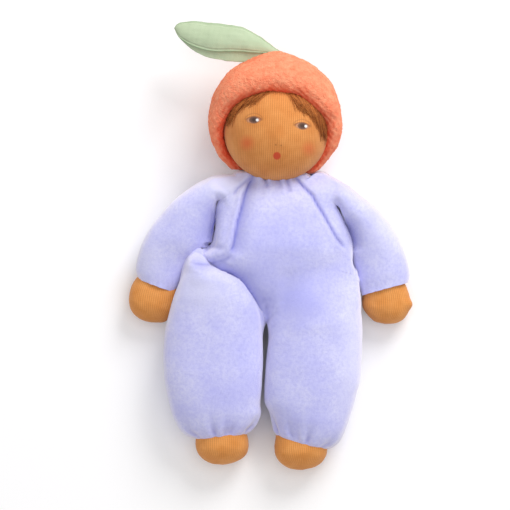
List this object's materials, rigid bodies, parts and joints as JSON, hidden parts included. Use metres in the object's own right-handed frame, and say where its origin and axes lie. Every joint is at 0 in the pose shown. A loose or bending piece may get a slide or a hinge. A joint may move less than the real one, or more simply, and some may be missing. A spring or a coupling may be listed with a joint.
{
  "type": "waldorf doll",
  "caption": "Soft baby doll with wool filling, a velour suit, a knitted head, mitten hands and feet, and a terry hood with a padded leaf; head, arms and legs move.",
  "frame": {"origin": "middle of the flat on the back of the suit, on the surface that the doll lies on", "axes": "+X to the right seen from the front, +Y along the body to the crown of the head, +Z out of the chest"},
  "size_m": [0.1961, 0.3105, 0.072],
  "materials": {
    "velour": "brushed cotton velour",
    "jersey": "fine cotton knit",
    "terry": "plush terry",
    "leaf_velour": "brushed cotton velour",
    "mohair": "curled hair",
    "wool": "loose carded",
    "thread": "spun cotton"
  },
  "bodies": {
    "torso": {"suit_front": "velour", "suit_back": "velour", "torso_wool": "wool"},
    "neckline": {"neckline_thread": "thread"},
    "neck": {"neck_stalk": "wool"},
    "head": {"head_skin": "jersey", "head_wool": "wool", "hood": "terry", "left_hair": "mohair", "right_hair": "mohair"},
    "leaf": {"leaf_top": "leaf_velour", "leaf_underside": "leaf_velour", "leaf_wadding": "wool"},
    "left_shoulder": {"left_shoulder_wad": "wool"},
    "left_arm": {"left_sleeve": "velour", "left_arm_wool": "wool", "left_hand": "jersey", "left_hand_wool": "wool"},
    "left_leg": {"left_trouser_leg": "velour", "left_leg_wool": "wool", "left_foot": "jersey", "left_foot_wool": "wool"},
    "right_shoulder": {"right_shoulder_wad": "wool"},
    "right_arm": {"right_sleeve": "velour", "right_arm_wool": "wool", "right_hand": "jersey", "right_hand_wool": "wool"},
    "right_leg": {"right_trouser_leg": "velour", "right_leg_wool": "wool", "right_foot": "jersey", "right_foot_wool": "wool"}
  },
  "joints": [
    {"name": "neck_tilt", "type": "hinge", "parent": "torso", "child": "neckline", "pos_m": [0, 0.047, 0.03], "axis": [0, 0, 1], "range_deg": [-10, 10]},
    {"name": "neck_nod", "type": "hinge", "parent": "neckline", "child": "neck", "pos_m": [0, 0.047, 0.03], "axis": [1, 0, 0], "range_deg": [-5, 15]},
    {"name": "head_turn", "type": "hinge", "parent": "neck", "child": "head", "pos_m": [0, 0.047, 0.03], "axis": [0, 1, 0], "range_deg": [-40, 40]},
    {"name": "leaf_flap", "type": "hinge", "parent": "head", "child": "leaf", "pos_m": [-0.002, 0.14, 0.04], "axis": [0.165, 0.9863, 0], "range_deg": [-15, 45], "stiffness_Nm_per_rad": 0.01},
    {"name": "left_arm_raise", "type": "hinge", "parent": "torso", "child": "left_shoulder", "pos_m": [-0.0467, 0.0245, 0.0215], "axis": [0, 0, -1], "range_deg": [0, 80]},
    {"name": "left_arm_lift", "type": "hinge", "parent": "left_shoulder", "child": "left_arm", "pos_m": [-0.0467, 0.0245, 0.0215], "axis": [-1, 0, 0], "range_deg": [0, 90]},
    {"name": "left_hip_bend", "type": "hinge", "parent": "torso", "child": "left_leg", "pos_m": [-0.0305, -0.032, 0.0255], "axis": [-1, 0, 0], "range_deg": [0, 80]},
    {"name": "right_arm_raise", "type": "hinge", "parent": "torso", "child": "right_shoulder", "pos_m": [0.0467, 0.0288, 0.0215], "axis": [0, 0, 1], "range_deg": [0, 80]},
    {"name": "right_arm_lift", "type": "hinge", "parent": "right_shoulder", "child": "right_arm", "pos_m": [0.0467, 0.0288, 0.0215], "axis": [-1, 0, 0], "range_deg": [0, 90]},
    {"name": "right_hip_bend", "type": "hinge", "parent": "torso", "child": "right_leg", "pos_m": [0.0305, -0.032, 0.0255], "axis": [-1, 0, 0], "range_deg": [0, 80]}
  ]
}
